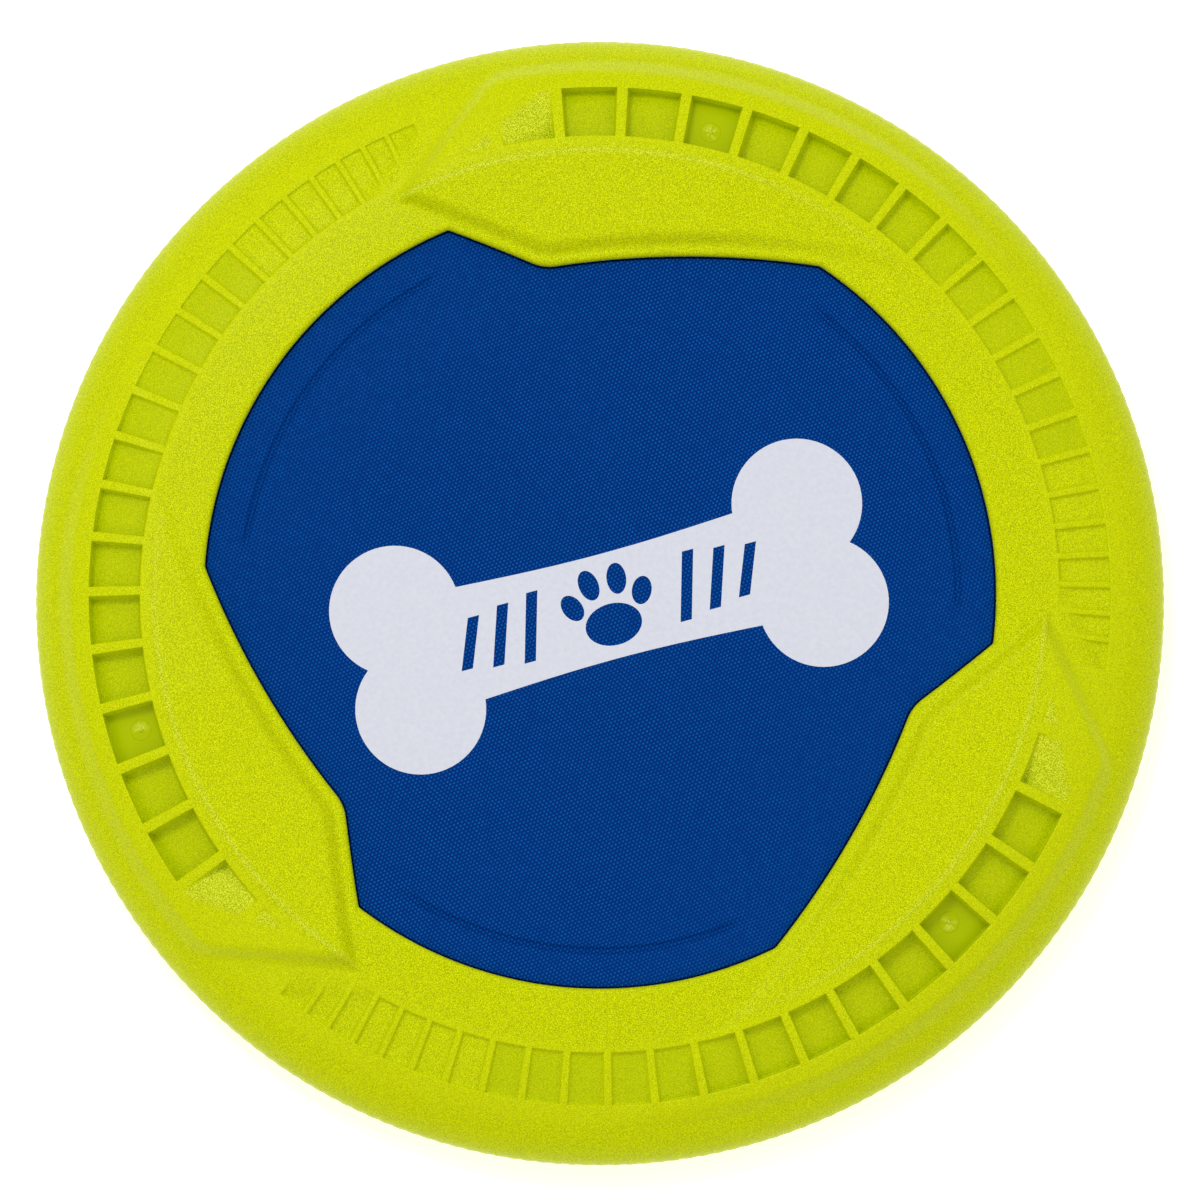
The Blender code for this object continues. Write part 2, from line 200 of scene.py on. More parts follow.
def smooth_min(a, b, blend):
    """The smaller of two values, rounded over where they differ by less than the blend."""
    return np.minimum(a, b) - np.maximum(blend - np.abs(a - b), 0) ** 2 / (4 * blend)


def smooth_max(a, b, blend):
    return -smooth_min(-a, -b, blend)


def bend(t, ease):
    """0 below 0 and t above it, with a short curve between."""
    return np.where(np.abs(t) < ease, (t + ease) ** 2 / (4 * ease), np.maximum(t, 0))


def eased(t, ease):
    """0 below 0 and 1 above 1, with a straight slope between and a short curve at each end."""
    return bend(t, ease) - bend(t - 1, ease)


def fall(bearing, limits):
    """1 up to the first bearing, 0 past the second, and straight between."""
    return np.clip((limits[1] - bearing) / (limits[1] - limits[0]), 0, 1)


# Surface of the ring -------------------------------------------------------------------------


def dome(radius):
    """The height of the plain domed top, a quarter of an ellipse."""
    share = np.clip((radius - DOME_START) / DOME_REACH, 0, 1)
    return DOME_TOP - DOME_DROP * (1 - np.sqrt(1 - share * share))


def past_lobe(points):
    """Distance onto a lobe from its edge, whose corner is rounded."""
    leading = past_bow(points, (LOBE_START, LOBE_CORNER), LEADING_BOW)
    trailing = past_bow(points, (LOBE_CORNER, LOBE_END), LOBE_BOW)
    return smooth_min(leading, trailing, CORNER_BLEND)


def past_window(points):
    """Distance onto the ring from the edge of the window."""
    _, radius = polar(points)
    return smooth_max(radius - WINDOW, past_lobe(points), NOTCH_BLEND)


def nose_share(points):
    """0 along the foot of a blade's nose and 1 along the top edge of its slope."""
    middle = place((NOSE_EDGE[0][0] + NOSE_EDGE[1][0]) / 2, (CREASE + RIDGE) / 2)
    return past_line(points, NOSE_FOOT, ON_BLADE) / past_line(middle, NOSE_FOOT, ON_BLADE)


def ridge_pull(bearing):
    """How far the ridge along a blade's outer edge has moved inwards at a bearing."""
    return RIDGE_PULL * (1 - fall(bearing, RIDGE_PULL_FALL))


def blade_mask(points):
    """1 on top of a blade and 0 off it, with its slopes between."""
    bearing, radius = polar(points)
    inner = (past_lobe(points) - LEDGE) / SLOPE
    outer = (RIDGE_FOOT - ridge_pull(bearing) - radius) / (RIDGE_FOOT - RIDGE)
    share = smooth_min(inner, nose_share(points), MITRE)
    return eased(share, EASE) * eased(outer, RIDGE_EASE)


def land(points):
    """The ring's top with its blades, before pockets and the rounded window edge."""
    bearing, radius = polar(points)
    base = dome(radius)
    along = (radius - CREASE) / (RIDGE - CREASE)
    at_crease = BLADE_LEVEL - dome(CREASE)
    outer = base + at_crease + (RIDGE_RISE - at_crease) * along
    top = smooth_min(np.full_like(outer, BLADE_LEVEL), outer, CREASE_BLEND)
    inner_share, outer_share = fall(bearing, INNER_FALL), fall(bearing, OUTER_FALL)
    share = inner_share + (outer_share - inner_share) * np.clip(along, 0, 1)
    from_foot = np.clip(np.abs(past_lobe(points) - LEDGE + 0.1) / 1.1, 0, 1)
    dip = LEDGE_DIP * (1 - from_foot**2) ** 2 * inner_share * np.clip(nose_share(points), 0, 1)
    return base + (top - base) * share * blade_mask(points) - dip


def pocket_depths(points):
    """(distance inside the nearest pocket's wall, limit that the ramps set, drop at its lip)."""
    bearing, radius = polar(points)
    inside = np.full(radius.shape, -FAR)
    ramp = np.full(radius.shape, FAR)
    drop = np.zeros(radius.shape)
    for turn in (0.0, SECTOR_TURN):
        turned = bearing + turn
        moved = place(turned, radius)
        from_rib = np.full(radius.shape, FAR)
        for centre, half in RIBS:
            away = np.radians(np.clip(np.abs(turned - centre) - half, -HALF_SECTOR, HALF_SECTOR))
            from_rib = np.minimum(from_rib, radius * np.sin(away))
        from_start = past_line(moved, POCKET_DIAGONAL, ON_BLADE)
        from_start = np.where(turned < RIBS[1][0], from_start, FAR)
        next_foot = tuple((b + SECTOR_TURN, r) for b, r in NOSE_FOOT)
        from_end = past_line(moved, next_foot, ON_LAST_POCKETS) - FOOT_MARGIN
        from_end = np.where(turned > HALF_SECTOR, from_end, FAR)
        to_last = np.clip(POCKETS_END - turned, -HALF_SECTOR, HALF_SECTOR)
        from_last = radius * np.sin(np.radians(to_last))
        walls = np.min([radius - POCKET_IN, POCKET_OUT - radius, from_rib, from_last], axis=0)
        from_ramp = np.minimum(from_start, from_end)
        here = np.minimum(walls, from_ramp * 10)
        ramp = np.where(here > inside, POCKET_RAMP * np.maximum(from_ramp, 0) ** 2, ramp)
        lip = np.clip(1 + walls / LIP_ROUND, 0, 1) ** 2 * np.clip(from_ramp / 2, 0, 1)
        drop = np.maximum(drop, LIP_DROP * lip)
        inside = np.maximum(inside, here)
    return inside, ramp, drop


def top_height(points):
    """The height of the finished top surface."""
    _, radius = polar(points)
    high = land(points)
    inside, ramp, drop = pocket_depths(points)
    low = np.maximum(dome(radius) - POCKET_SINK, high - ramp)
    from_gate = np.hypot(*np.moveaxis(points - place(*GATE), -1, 0))
    low = low + GATE_RISE * np.clip((GATE_RADIUS - from_gate) / GATE_EDGE, 0, 1)
    low = low + NIB_RISE * np.clip((NIB_RADIUS - from_gate) / NIB_EDGE, 0, 1)
    share = 1 - (1 - np.clip(inside / POCKET_WALL, 0, 1)) ** 3
    high = high - drop
    near = np.clip(past_window(points) - 1e-5, 0, EDGE_ROUND)
    edge = np.sqrt(EDGE_ROUND**2 - (EDGE_ROUND - near) ** 2) - EDGE_ROUND
    return high + (low - high) * share + edge


def surface_looks(points):
    """How the rubber looks at each point: how coarse its grain is, how much painted shade darkens it on a
    pocket's floor, and how much painted highlight it gets along the crease, on the first pockets and on
    the gate's nib."""
    bearing, radius = polar(points)
    inside, _, _ = pocket_depths(points)
    floor = inside > POCKET_WALL * 0.4
    gate = floor & (bearing > RIBS[3][0]) & (bearing < RIBS[4][0])
    first = floor & (bearing > POCKETS_START) & (bearing < RIBS[1][0])
    nib = np.hypot(*np.moveaxis(points - place(*GATE), -1, 0)) < NIB_RADIUS
    grain = np.where(radius > 101.0, 0.7, 1.0)
    grain[radius > 118.5] = 0.85
    grain[floor] = 0.9
    grain[gate] = 0.3
    grain[first] = 1.3
    # Painted shade: the pocket floors, and the gate's floor most of all, are darkened in the colour where
    # real shade falls in the recesses
    shade = np.where(gate & ~nib, 2.2, floor & (bearing > RIBS[1][0]))
    # Painted highlight: a pale glint laid into the colour along the crease, on the first pockets and on
    # the gate's nib, where the lamp's light would catch
    painted_glint = 0.3 * np.exp(-(((radius - CREASE) / 0.4) ** 2)) * fall(bearing, INNER_FALL)
    painted_glint = painted_glint * blade_mask(points)
    painted_glint[first] = 0.16
    painted_glint[nib] = 0.5
    return {"grain": grain, "shade": shade, "painted_glint": painted_glint}


# The looks away from the top, whose surface is less than the thinnest wall below the dome
PLAIN_LOOK = {"grain": 0.85, "shade": 0.0, "painted_glint": 0.0}
WALL_LEAST = 2.0


# Meshing of a sector -------------------------------------------------------------------------


def spaced(start, end, longest):
    """Evenly spaced values from start to end, no further apart than the longest step."""
    count = max(int(math.ceil(abs(end - start) / longest)), 1)
    return np.linspace(start, end, count + 1)


def level_curve(distance, level, bearings, low=60.0, high=121.0):
    """The points at these bearings where a distance that grows with the radius reaches a level."""
    low = np.full(len(bearings), low)
    high = np.full(len(bearings), high)
    for _ in range(45):
        middle = (low + high) / 2
        short = distance(place(bearings, middle)) < level
        low, high = np.where(short, middle, low), np.where(short, high, middle)
    return place(bearings, (low + high) / 2)


def end_bow(radii, outer):
    """How far a sector's ends bow, in degrees, so that no three of their points are in line."""
    return 0.12 * np.sin(math.pi * (radii - WINDOW) / (outer - WINDOW))


class Plan:
    """Points and lines in plan that become one triangulated patch."""

    def __init__(self):
        self.points = []
        self.edges = []
        self.outline = None
        self.holes = []

    def hole(self, outline):
        self.line(outline, closed=True)
        self.holes.append(outline)

    def sector(self, inner, outer, radii):
        """The border of a sector patch between two curves, with its ends at these radii."""
        bow = end_bow(radii, radii[-1])
        first = place(SECTOR_EDGE + bow, radii)
        last = place(SECTOR_EDGE + SECTOR_TURN + bow, radii)
        for line in (inner, outer, first, last):
            self.line(line)
        self.outline = np.concatenate([first[:-1], outer[:-1], last[:0:-1], inner[:0:-1]])

    def line(self, points, closed=False):
        start = len(self.points)
        self.points += [tuple(p) for p in points]
        self.edges += [(start + i, start + i + 1) for i in range(len(points) - 1)]
        if closed:
            self.edges.append((start + len(points) - 1, start))

    def fill(self, spacing, keep, clear):
        """Adds a triangular grid of points where keep says so, away from the lines' points."""
        tree = KDTree(len(self.points))
        for i, p in enumerate(self.points):
            tree.insert((*p, 0.0), i)
        tree.balance()
        reach = 127.0
        rows = np.arange(-reach, reach, spacing * math.sqrt(3) / 2)
        for i, y in enumerate(rows):
            x = np.arange(-reach, reach, spacing) + (i % 2) * spacing / 2
            row = np.stack([x, np.full_like(x, y)], axis=-1)
            for p in row[keep(row)]:
                if tree.find((*p, 0.0))[2] > clear:
                    self.points.append(tuple(p))

    def triangles(self):
        """(points, triangles) with every triangle counter-clockwise from above."""
        flat = [Vector(p) for p in self.points]
        found, _, faces, given, *_ = delaunay_2d_cdt(flat, self.edges, [], 0, 1e-5, True)
        points = [self.points[g[0]] if g else tuple(p) for p, g in zip(found, given)]
        points, faces = np.array(points), np.array(faces)
        middles = points[faces].mean(axis=1)
        solid = np.ones(len(faces), bool)
        if self.outline is not None:
            solid = inside_outline(middles, self.outline)
        for hole in self.holes:
            solid &= ~inside_outline(middles, hole)
        return points, faces[solid]


def circle(centre, radius, count):
    """Points round a circle in plan."""
    turns = np.arange(count) * math.tau / count
    return centre + radius * np.stack([np.cos(turns), np.sin(turns)], axis=-1)


def window_bearings():
    """Bearings round the window's edge in one sector, closer together at its corners."""
    end = SECTOR_EDGE + SECTOR_TURN
    parts = [SECTOR_EDGE]
    for corner in (LOBE_START[0], LOBE_CORNER[0], LOBE_END[0]):
        parts += [corner - 2.0, corner + 2.0]
    parts.append(end)
    found = [np.array([SECTOR_EDGE])]
    for i in range(len(parts) - 1):
        found.append(spaced(parts[i], parts[i + 1], 0.25 if i % 2 else 0.75)[1:])
    return np.concatenate(found)


def top_plan(edge_bearings):
    """The plan of a sector's top, with lines along everything that bends its surface."""
    plan = Plan()
    first, last = SECTOR_EDGE, SECTOR_EDGE + SECTOR_TURN
    offsets = [0.0, 0.06, 0.22, 0.5, 0.85, EDGE_ROUND]
    edge = level_curve(past_window, 0.0, edge_bearings)
    outer = spaced(first, last, SECTOR_TURN / (RIPPLES * RIPPLE_STEPS))
    radii = np.concatenate([WINDOW + np.array(offsets), spaced(91.0, 122.0, 1.5), [TOP_LIMIT]])
    plan.sector(edge, place(outer, np.full_like(outer, TOP_LIMIT)), radii)
    for offset in offsets[1:]:
        bow = end_bow(WINDOW + offset, TOP_LIMIT)
        bearings = edge_bearings.copy()
        bearings[[0, -1]] += bow
        plan.line(level_curve(past_window, offset, bearings))

    levels = (-EASE, 0.0, EASE, 0.5, 1 - EASE, 1.0, 1 + EASE)
    slope = spaced(-27.0, 50.0, 0.7)
    for level in levels:
        plan.line(level_curve(past_lobe, LEDGE + SLOPE * level, slope))
    for level in levels:
        width = NOSE_EDGE[0][0] - NOSE_FOOT[0][0]
        start = place(NOSE_FOOT[0][0] + width * level - 2.2, 97.0)
        end = place(NOSE_FOOT[1][0] + (NOSE_EDGE[1][0] - NOSE_FOOT[1][0]) * level + 1.2, 119.0)
        plan.line(start + (end - start) * np.linspace(0, 1, 36)[:, None])
    ridge = spaced(-15.0, 62.0, 0.6)
    for level in (-RIDGE_EASE, 0.0, RIDGE_EASE, 0.5, 1 - RIDGE_EASE, 1.0, 1 + RIDGE_EASE):
        foot = RIDGE_FOOT - (RIDGE_FOOT - RIDGE) * level
        plan.line(place(ridge, foot - ridge_pull(ridge)))
    crease = spaced(-25.0, 50.0, 0.7)
    for radius in CREASE + np.array((-0.6, -0.3, 0.0, 0.3, 0.6)):
        plan.line(place(crease, np.full_like(crease, radius)))

    for outline in pocket_outlines():
        plan.line(outline, closed=True)
    gate = ((GATE_RADIUS, 24), (GATE_RADIUS - GATE_EDGE, 24), (NIB_RADIUS, 12), (NIB_RADIUS - NIB_EDGE, 8))
    for radius, count in gate:
        plan.line(circle(place(*GATE), radius, count), closed=True)

    def keep(points):
        bearing, radius = polar(points)
        inside = (bearing > first + 0.4) & (bearing < last - 0.4) & (radius < TOP_LIMIT - 0.6)
        return inside & (past_window(points) > EDGE_ROUND + 0.3)

    def keep_near(points):
        """The tight bends round a blade's corners."""
        near = np.zeros(len(points), bool)
        for spot in ((-25.5, 97.5), (-9.5, 80.0), (-13.0, 118.0), (-24.0, 99.5)):
            near |= np.hypot(*(points - place(*spot)).T) < 5.5
        return near & keep(points)

    plan.fill(0.62, keep_near, 0.3)
    plan.fill(1.5, keep, 0.7)
    return plan


def side_points(start, end):
    """Points along a straight side, without its end."""
    count = max(int(math.ceil(np.hypot(*(end - start)) / 1.2)), 1)
    return [start + (end - start) * i / count for i in range(count)]


def ring_side(start, end, radius):
    """Points along an arc round the axis, without its end."""
    bearings = spaced(start, end, 0.7)[:-1]
    return list(place(bearings, np.full_like(bearings, radius)))


def pocket_outlines():
    """The edge and the foot of each pocket's walls, for the pockets within one sector."""
    found = []
    for turn in (0.0, -SECTOR_TURN):
        for i, (centre, half) in enumerate(RIBS):
            start = centre + half + turn
            last = i == len(RIBS) - 1
            end = POCKETS_END + turn if last else RIBS[i + 1][0] - RIBS[i + 1][1] + turn
            if start < SECTOR_EDGE or end > SECTOR_EDGE + SECTOR_TURN:
                continue
            if i == 0:
                found += first_pockets()
            found += pocket_loops(start, end, POCKET_IN, POCKET_OUT)
    return found


def pocket_loops(start, end, low, high):
    """Outlines of a pocket between two bearings and two radii, one for each row of its walls."""
    loops = []
    for inset in WALL_ROWS:
        inner_turn = math.degrees(inset / low)
        outer_turn = math.degrees(inset / high)
        corners = [
            (start + inner_turn, low + inset),
            (start + outer_turn, high - inset),
            (end - outer_turn, high - inset),
            (end - inner_turn, low + inset),
        ]
        loop = side_points(place(*corners[0]), place(*corners[1]))
        loop += ring_side(corners[1][0], corners[2][0], high - inset)
        loop += side_points(place(*corners[2]), place(*corners[3]))
        loop += ring_side(corners[3][0], corners[0][0], low + inset)
        loops.append(loop)
    return loops


def first_pockets():
    """The triangle before the first rib, whose long side is a ramp with no wall."""
    start, end = place(*POCKET_DIAGONAL[0]), place(*POCKET_DIAGONAL[1])
    diagonal = [start + (end - start) * t for t in np.linspace(0, 1, 16)]
    centre, half = RIBS[0]
    side = centre - half
    top = 108.0
    loops = []
    for inset in WALL_ROWS:
        turn = math.degrees(inset / POCKET_IN)
        loop = side_points(place(side - turn, top), place(side - turn, POCKET_IN + inset))
        loop += ring_side(side - turn, POCKET_DIAGONAL[0][0] + 1.5, POCKET_IN + inset)
        loops.append(loop)
    return [diagonal + list(loops[0])] + loops[1:]


class Shell:
    """Points and faces of one closed piece, put together from patches that share their edges."""

    def __init__(self):
        self.points = []
        self.faces = []
        self.kinds = []

    def patch(self, points, faces, kind=0):
        start = sum(len(p) for p in self.points)
        self.points.append(np.asarray(points, float))
        self.faces += [[start + i for i in face] for face in faces]
        self.kinds += [kind] * len(faces)

    def strip(self, upper, lower, closed=False, kind=0):
        """Quads between two rows, which face out where the rows run clockwise and the first is upper."""
        count = len(upper)
        faces = []
        for i in range(count if closed else count - 1):
            after = (i + 1) % count
            faces.append((i, after, count + after, count + i))
        self.patch(np.concatenate([upper, lower]), faces, kind)

    def turned(self, count):
        """(points, faces, kinds) of this shell repeated round the axis, with shared points joined."""
        points = np.concatenate(self.points)
        copies, faces = [], []
        for i in range(count):
            turn = -math.tau * i / count
            c, s = math.cos(turn), math.sin(turn)
            copies.append(points @ np.array([[c, s, 0], [-s, c, 0], [0, 0, 1]]))
            faces += [[i * len(points) + j for j in face] for face in self.faces]
        points = np.concatenate(copies)
        _, first, index = np.unique(
            np.round(points, 3), axis=0, return_index=True, return_inverse=True
        )
        index = index.reshape(-1)
        kept, kinds = [], []
        for face, kind in zip(faces, self.kinds * count):
            corners = []
            for j in face:
                if index[j] not in corners:
                    corners.append(int(index[j]))
            if len(corners) > 2:
                kept.append(corners)
                kinds.append(kind)
        return points[first], kept, np.array(kinds)


def upright(points, height):
    """Points in plan, lifted to a height."""
    return np.column_stack([points, np.broadcast_to(height, len(points))])


def outer_rows(bearings):
    """Rows from the edge of the top patch down the skirt, round the lip and up the hollow."""
    rows = []
    start = math.asin((TOP_LIMIT - DOME_START) / DOME_REACH)
    for turn in np.linspace(start, math.pi / 2, SHOULDER_STEPS):
        radius = DOME_START + DOME_REACH * math.sin(turn)
        rows.append((radius, DOME_TOP - DOME_DROP * (1 - math.cos(turn))))
    rows[0] = (TOP_LIMIT, float(dome(TOP_LIMIT)))
    rows += SKIRT_ROWS + LIP_ROWS
    rim = math.asin((FLANGE_RADIUS + 1.2 - DOME_START) / HOLLOW_REACH)
    for turn in np.linspace(math.pi / 2, rim, HOLLOW_STEPS):
        radius = DOME_START + HOLLOW_REACH * math.sin(turn)
        rows.append((radius, HOLLOW_TOP - HOLLOW_DROP * (1 - math.cos(turn))))
    rows += [(FLANGE_RADIUS + 0.35, FLANGE_UNDER + 0.25), (FLANGE_RADIUS, FLANGE_UNDER)]
    wave = (1 - np.cos(np.radians(bearings - bearings[0]) * SECTORS * RIPPLES)) / 2
    placed_rows = []
    for i, (radius, height) in enumerate(rows):
        outside = i < SHOULDER_STEPS + len(SKIRT_ROWS) and RIPPLE_FOOT < height < RIPPLE_TOP
        fade = min((RIPPLE_TOP - height) / 6, (height - RIPPLE_FOOT) / 2, 1.0)
        depth = RIPPLE_DEPTH * fade if outside else 0
        placed_rows.append(upright(place(bearings, radius - depth * wave), height))
    return placed_rows


def plane_between(inner, outer, high, rows, holes=()):
    """A flat patch between two curves that share their end bearings, with round holes in it."""
    plan = Plan()
    plan.sector(inner, outer, rows)
    for hole in holes:
        plan.hole(hole)

    def keep(points):
        bearing, radius = polar(points)
        inside = (bearing > SECTOR_EDGE + 0.5) & (bearing < SECTOR_EDGE + SECTOR_TURN - 0.5)
        return inside & (radius < high - 0.8) & (past_window(points) > 0.8)

    plan.fill(2.5, keep, 1.0)
    return plan.triangles()


def ring_shell():
    """The closed surface of one sector of the ring, open only at its two ends."""
    bearings = window_bearings()
    shell = Shell()
    points, faces = top_plan(bearings).triangles()
    shell.patch(np.column_stack([points, top_height(points)]), faces, kind=1)

    outer = spaced(SECTOR_EDGE, SECTOR_EDGE + SECTOR_TURN, SECTOR_TURN / (RIPPLES * RIPPLE_STEPS))
    rows = outer_rows(outer)
    for upper, lower in zip(rows, rows[1:]):
        shell.strip(upper, lower)

    edge = level_curve(past_window, 0.0, bearings)
    rim = np.column_stack([edge, top_height(edge)])
    shell.strip(upright(edge, SLOT_CEILING), rim)
    slot_edge = place(bearings, SLOT_RADIUS)
    pegs = []
    for bearing in (np.arange(PEG_COUNT) + 0.5) * 360 / PEG_COUNT - SECTOR_TURN:
        if SECTOR_EDGE < bearing < SECTOR_EDGE + SECTOR_TURN:
            pegs.append(circle(place(float(bearing), PEG_RING), PEG_RADIUS, 12))
    rows = np.linspace(WINDOW, SLOT_RADIUS, 5)
    flat, faces = plane_between(edge, slot_edge, SLOT_RADIUS, rows, pegs)
    shell.patch(upright(flat, SLOT_CEILING), faces[:, ::-1])
    shell.patch(upright(flat, SLOT_FLOOR), faces)
    shell.strip(upright(slot_edge, SLOT_FLOOR), upright(slot_edge, SLOT_CEILING))
    for peg in pegs:
        shell.strip(upright(peg, SLOT_FLOOR), upright(peg, SLOT_CEILING), closed=True)
    shell.strip(upright(edge, FLANGE_UNDER), upright(edge, SLOT_FLOOR))

    rows = np.linspace(WINDOW, FLANGE_RADIUS, 6)
    rim = place(outer, FLANGE_RADIUS)
    flat, faces = plane_between(edge, rim, FLANGE_RADIUS, rows)
    shell.patch(upright(flat, FLANGE_UNDER), faces[:, ::-1])
    return shell


def add_piece(name, points, faces, material, smooth_angle=35.0):
    """A smooth-shaded object from points in millimetres."""
    mesh = bpy.data.meshes.new(name)
    mesh.from_pydata((np.asarray(points) * MM).tolist(), [], [list(f) for f in faces])
    mesh.validate()
    mesh.shade_smooth()
    mesh.set_sharp_from_angle(angle=math.radians(smooth_angle))
    piece = bpy.data.objects.new(name, mesh)
    bpy.context.scene.collection.objects.link(piece)
    mesh.materials.append(material)
    return piece


def shade_top(mesh, kinds):
    """Gives the corners of the top patch the slope of the surface itself."""
    corners = np.empty(len(mesh.loops) * 3)
    mesh.corner_normals.foreach_get("vector", corners)
    normals = corners.reshape(-1, 3)
    at = np.empty(len(mesh.loops), np.int64)
    mesh.loops.foreach_get("vertex_index", at)
    spots = np.empty(len(mesh.vertices) * 3)
    mesh.vertices.foreach_get("co", spots)
    spots = spots.reshape(-1, 3)[:, :2] / MM
    starts = np.empty(len(mesh.polygons), np.int64)
    mesh.polygons.foreach_get("loop_start", starts)
    top = starts[kinds == 1][:, None] + np.arange(3)
    corner = spots[at[top]]
    inward = corner + (corner.mean(axis=1, keepdims=True) - corner) * 0.08
    bearing, radius = polar(inward)
    middle, _ = polar(corner.mean(axis=1))
    turn = home_turn(middle)
    local = place(bearing - turn[:, None], radius)
    step = 0.004
    dx = (top_height(local + [step, 0]) - top_height(local - [step, 0])) / (2 * step)
    dy = (top_height(local + [0, step]) - top_height(local - [0, step])) / (2 * step)
    angle = np.radians(turn)[:, None]
    c, s = np.cos(angle), np.sin(angle)
    slope_x, slope_y = dx * c + dy * s, -dx * s + dy * c
    found = np.stack([-slope_x, -slope_y, np.ones_like(dx)], axis=-1)
    found /= np.linalg.norm(found, axis=-1, keepdims=True)
    normals[top] = found
    mesh.normals_split_custom_set(normals.tolist())


# Materials -----------------------------------------------------------------------------------


class Nodes:
    """Short calls for building the nodes of a material or a world."""

    def __init__(self, owner, shader="Principled BSDF"):
        owner.use_nodes = True
        self.material = owner
        self.tree = owner.node_tree
        self.shader = self.tree.nodes[shader]

    def set(self, **values):
        for key, value in values.items():
            self.wire(self.shader.inputs[key.replace("_", " ")], value)

    def wire(self, socket, value):
        if isinstance(value, bpy.types.NodeSocket):
            self.tree.links.new(value, socket)
        else:
            socket.default_value = value

    def node(self, kind, out, inputs=(), **settings):
        made = self.tree.nodes.new("ShaderNode" + kind)
        for key, value in settings.items():
            setattr(made, key, value)
        for key, value in dict(inputs).items():
            self.wire(made.inputs[key], value)
        return made.outputs[out]

    def math(self, operation, a, b=0.0, clamp=False):
        return self.node("Math", 0, {0: a, 1: b}, operation=operation, use_clamp=clamp)

    def spots(self):
        return self.node("TexCoord", "Object")

    def noise(self, size, detail=2.0, roughness=0.5):
        """Noise whose patches are about this many millimetres across, on a tilted lattice."""
        tilted = self.node("Mapping", 0, {"Vector": self.spots(), "Rotation": (0.5, 0.7, 0.3)})
        inputs = {"Vector": tilted, "Scale": 1000 / size}
        inputs.update({"Detail": detail, "Roughness": roughness})
        return self.node("TexNoise", "Fac", inputs)

    def blend(self, share, first, last):
        mix = self.tree.nodes.new("ShaderNodeMix")
        mix.data_type = "RGBA"
        self.wire(mix.inputs["Factor"], share)
        self.wire(mix.inputs["A"], (*first, 1) if isinstance(first, tuple) else first)
        self.wire(mix.inputs["B"], (*last, 1) if isinstance(last, tuple) else last)
        return mix.outputs["Result"]

    def spread(self, value, low, high, to_low=0.0, to_high=1.0):
        inputs = {"Value": value, "From Min": low, "From Max": high}
        inputs.update({"To Min": to_low, "To Max": to_high})
        return self.node("MapRange", 0, inputs)

    def ramp(self, value, stops):
        """A grey that follows the value through these (value, grey) stops."""
        made = self.tree.nodes.new("ShaderNodeValToRGB")
        self.wire(made.inputs["Fac"], value)
        elements = made.color_ramp.elements
        while len(elements) < len(stops):
            elements.new(0.5)
        for element, (place_at, grey) in zip(elements, stops):
            element.position = place_at
            element.color = (grey, grey, grey, 1)
        return made.outputs["Color"]

    def bump(self, height, strength, distance):
        inputs = {"Height": height, "Strength": strength, "Distance": distance * MM}
        return self.node("Bump", 0, inputs)


def rubber_material():
    """Matt moulded rubber with a fine spark-eroded grain."""
    n = Nodes(bpy.data.materials.new("lime_rubber_look"))
    n.set(Roughness=0.27, Specular_IOR_Level=0.5, IOR=1.12)
    grain = n.noise(0.25, 1.0, 0.5)
    cloud = n.noise(30.0, 2.0)
    amount = n.node("Attribute", "Fac", attribute_name="grain")
    rough = n.math("MULTIPLY", n.math("SUBTRACT", grain, 0.5), amount)
    # Where the grain is finer the rubber is a little lighter: partly its smoother finish, partly painted
    # light that lifts the tilted strips, ribs and skirt
    share = n.spread(n.math("ADD", rough, n.spread(amount, 0.0, 1.0, 0.08, 0.0)), -0.20, 0.20)
    colour = n.blend(share, (0.345, 0.440, 0.0002), (0.855, 0.925, 0.0030))
    colour = n.blend(n.math("MULTIPLY", cloud, 0.12), colour, (0.56, 0.64, 0.0005))
    # Painted shade: the pocket floors are darkened in the colour
    shade = n.node("Attribute", "Fac", attribute_name="shade")
    colour = n.blend(n.math("MULTIPLY", shade, 0.35), colour, (0.42, 0.52, 0.0002))
    # Painted highlight: pale glints laid into the colour on the grain's peaks, along the crease, the first
    # pockets and the nib
    painted_glint = n.node("Attribute", "Fac", attribute_name="painted_glint")
    painted_glint_peaks = n.math("MULTIPLY", painted_glint, n.spread(grain, 0.46, 0.60))
    colour = n.blend(painted_glint_peaks, colour, (0.93, 0.95, 0.25))
    n.set(Base_Color=colour)
    n.set(Normal=n.bump(n.math("MULTIPLY", grain, amount), 1.0, 0.06))
    return n.material


# The waves whose crests cross at the thread crowns, in turns per millimetre along X and Y
WEAVE_WAVES = ((-0.852, -0.870), (0.462, -1.268), (1.310, -0.395))


def weave_height(n):
    """Rows of thread crowns on a slanted lattice, with the threads a little uneven."""
    warp = n.node("TexNoise", "Color", {"Vector": n.spots(), "Scale": 60.0, "Detail": 1.0})
    shift = n.node("VectorMath", 0, {0: warp, 1: (0.5, 0.5, 0.5)}, operation="SUBTRACT")
    small = n.node("VectorMath", 0, {0: shift, "Scale": 0.0011}, operation="SCALE")
    where = n.node("VectorMath", 0, {0: n.spots(), 1: small}, operation="ADD")
    total = None
    for wave in WEAVE_WAVES:
        turns = tuple(1000 * math.tau * w for w in wave) + (0.0,)
        along = n.node("VectorMath", "Value", {0: where, 1: turns}, operation="DOT_PRODUCT")
        crest = n.math("COSINE", along)
        total = crest if total is None else n.math("ADD", total, crest)
    return total


